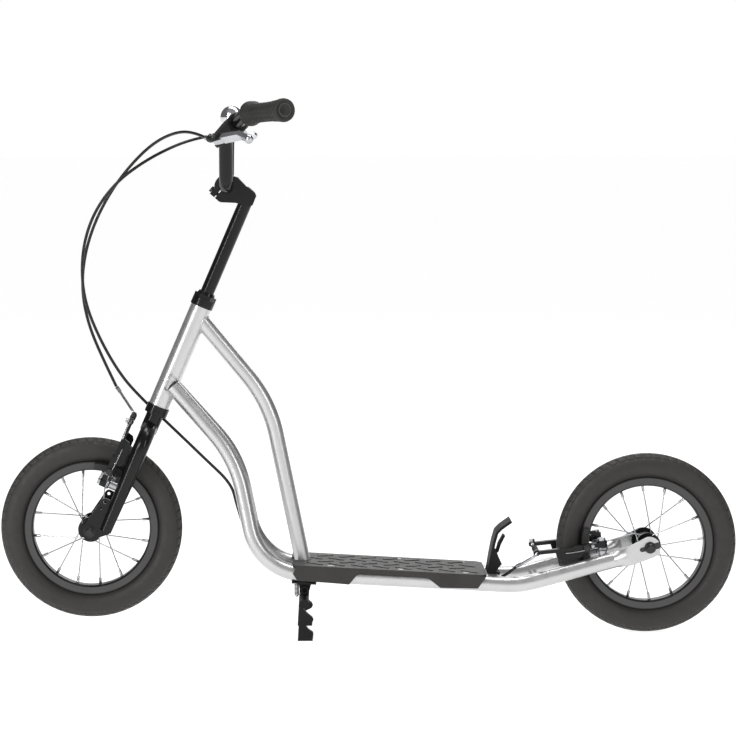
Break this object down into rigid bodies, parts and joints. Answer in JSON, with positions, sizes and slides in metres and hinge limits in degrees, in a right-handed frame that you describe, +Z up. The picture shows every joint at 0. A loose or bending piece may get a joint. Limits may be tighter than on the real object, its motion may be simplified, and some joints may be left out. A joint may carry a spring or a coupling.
{
  "type": "kick scooter",
  "caption": "Push scooter with spoked air tyres, a low footboard between twin rails, swept handlebar, hand brakes, bell and a fold-up centre stand.",
  "frame": {"origin": "on the floor, midway between the axles, on the scooter's middle plane", "axes": "+X towards the rear wheel, +Y towards the rider's right, +Z up, standing on the rear tyre and the centre stand"},
  "size_m": [1.2064, 0.5492, 0.8762],
  "materials": {
    "silver_paint": "gloss silver paint",
    "black_paint": "gloss black paint",
    "black_plastic": "textured black plastic",
    "grip_rubber": "matt ribbed rubber",
    "tyre": "matt black",
    "chrome": "polished",
    "aluminium": "satin",
    "steel": "zinc plated",
    "cable_housing": "smooth black",
    "pad_rubber": "moulded"
  },
  "bodies": {
    "frame": {"head_tube": "silver_paint", "upper_tube": "silver_paint", "lower_tube_left": "silver_paint", "lower_tube_right": "silver_paint", "cross_plates": "silver_paint", "headset_cups": "black_paint", "footboard": "black_plastic", "deck_screws": "steel", "heel_guard": "black_paint", "stand_bracket": "black_paint", "stand_spring": "steel", "rear_axle": "steel", "rear_brake_posts": "steel", "rear_cable_rear": "cable_housing", "rear_cable_clips": "steel"},
    "fork": {"fork_steerer": "black_paint", "fork_blade_left": "black_paint", "fork_blade_right": "black_paint", "headset_races": "black_paint", "front_axle": "steel", "front_brake_posts": "steel", "fork_cable_guide": "black_paint", "front_cable": "cable_housing"},
    "handlebar": {"stem": "black_paint", "stem_bolts": "steel", "handlebar": "black_paint", "grip_left": "grip_rubber", "grip_right": "grip_rubber", "lever_bracket_left": "black_plastic", "lever_bracket_right": "black_plastic", "lever_hardware": "steel", "bell": "chrome", "rear_cable_front": "cable_housing"},
    "lever_left": {"lever_left": "aluminium"},
    "lever_right": {"lever_right": "aluminium"},
    "front_arm_left": {"front_arm_left": "black_paint", "front_shoe_left": "pad_rubber"},
    "front_arm_right": {"front_arm_right": "black_paint", "front_shoe_right": "pad_rubber", "front_noodle": "aluminium", "front_boot": "pad_rubber"},
    "rear_arm_left": {"rear_arm_left": "black_paint", "rear_shoe_left": "pad_rubber", "rear_noodle": "aluminium", "rear_boot": "pad_rubber"},
    "rear_arm_right": {"rear_arm_right": "black_paint", "rear_shoe_right": "pad_rubber"},
    "front_wheel": {"front_tyre": "tyre", "front_inner_tube": "pad_rubber", "front_rim": "black_paint", "front_spokes": "steel", "front_hub": "black_paint"},
    "rear_wheel": {"rear_tyre": "tyre", "rear_inner_tube": "pad_rubber", "rear_rim": "black_paint", "rear_spokes": "steel", "rear_hub": "black_paint"},
    "stand": {"stand": "black_paint"},
    "bell_striker": {"bell_striker": "cable_housing"}
  },
  "joints": [
    {"name": "steering", "type": "hinge", "parent": "frame", "child": "fork", "pos_m": [-0.30935, 0, 0.45782], "axis": [0.3955, 0, 0.9184], "range_deg": [-60, 60], "deforming": ["rear_cable_rear"]},
    {"name": "stem_height", "type": "slide", "parent": "fork", "child": "handlebar", "axis": [0.3955, 0, 0.9184], "range_m": [-0.08, 0.02], "deforming": ["front_cable", "rear_cable_front"]},
    {"name": "lever_left_pull", "type": "hinge", "parent": "handlebar", "child": "lever_left", "pos_m": [-0.24468, -0.121, 0.80988], "axis": [-0.6892, -0.2639, 0.6748], "range_deg": [0, 12], "stiffness_Nm_per_rad": 0.6, "springref_deg": -14.32},
    {"name": "lever_right_pull", "type": "hinge", "parent": "handlebar", "child": "lever_right", "pos_m": [-0.24468, 0.121, 0.80988], "axis": [0.6892, -0.2639, -0.6748], "range_deg": [0, 12], "stiffness_Nm_per_rad": 0.6, "springref_deg": -14.32},
    {"name": "front_arm_left_swing", "type": "hinge", "parent": "fork", "child": "front_arm_left", "pos_m": [-0.43009, -0.045, 0.25711], "axis": [-0.9184, 0, 0.3955], "range_deg": [0, 3]},
    {"name": "front_arm_right_swing", "type": "hinge", "parent": "fork", "child": "front_arm_right", "pos_m": [-0.43009, 0.045, 0.25711], "axis": [0.9184, 0, -0.3955], "range_deg": [0, 3]},
    {"name": "rear_arm_left_swing", "type": "hinge", "parent": "frame", "child": "rear_arm_left", "pos_m": [0.37787, -0.045, 0.15005], "axis": [0.1063, 0, -0.9943], "range_deg": [0, 3]},
    {"name": "rear_arm_right_swing", "type": "hinge", "parent": "frame", "child": "rear_arm_right", "pos_m": [0.37787, 0.045, 0.15005], "axis": [-0.1063, 0, 0.9943], "range_deg": [0, 3]},
    {"name": "front_wheel_spin", "type": "hinge", "parent": "fork", "child": "front_wheel", "pos_m": [-0.45518, 0, 0.17711], "axis": [0, 1, 0], "continuous": true},
    {"name": "rear_wheel_spin", "type": "hinge", "parent": "frame", "child": "rear_wheel", "pos_m": [0.45518, 0, 0.148], "axis": [0, 1, 0], "continuous": true},
    {"name": "stand_fold", "type": "hinge", "parent": "frame", "child": "stand", "pos_m": [-0.10718, 0, 0.07625], "axis": [0, -1, 0], "range_deg": [0, 85], "stiffness_Nm_per_rad": 0.8, "springref_deg": -45.84, "deforming": ["stand_spring"]},
    {"name": "bell_striker_push", "type": "hinge", "parent": "handlebar", "child": "bell_striker", "pos_m": [-0.22393, 0.084, 0.83985], "axis": [0.0683, 0.3389, -0.9384], "range_deg": [0, 20], "stiffness_Nm_per_rad": 0.02, "springref_deg": -17.19}
  ],
  "couplings": [
    {"joint": "front_arm_left_swing", "follows": "lever_left_pull", "ratio": 0.25},
    {"joint": "front_arm_right_swing", "follows": "lever_left_pull", "ratio": 0.25},
    {"joint": "rear_arm_left_swing", "follows": "lever_right_pull", "ratio": 0.25},
    {"joint": "rear_arm_right_swing", "follows": "lever_right_pull", "ratio": 0.25}
  ]
}
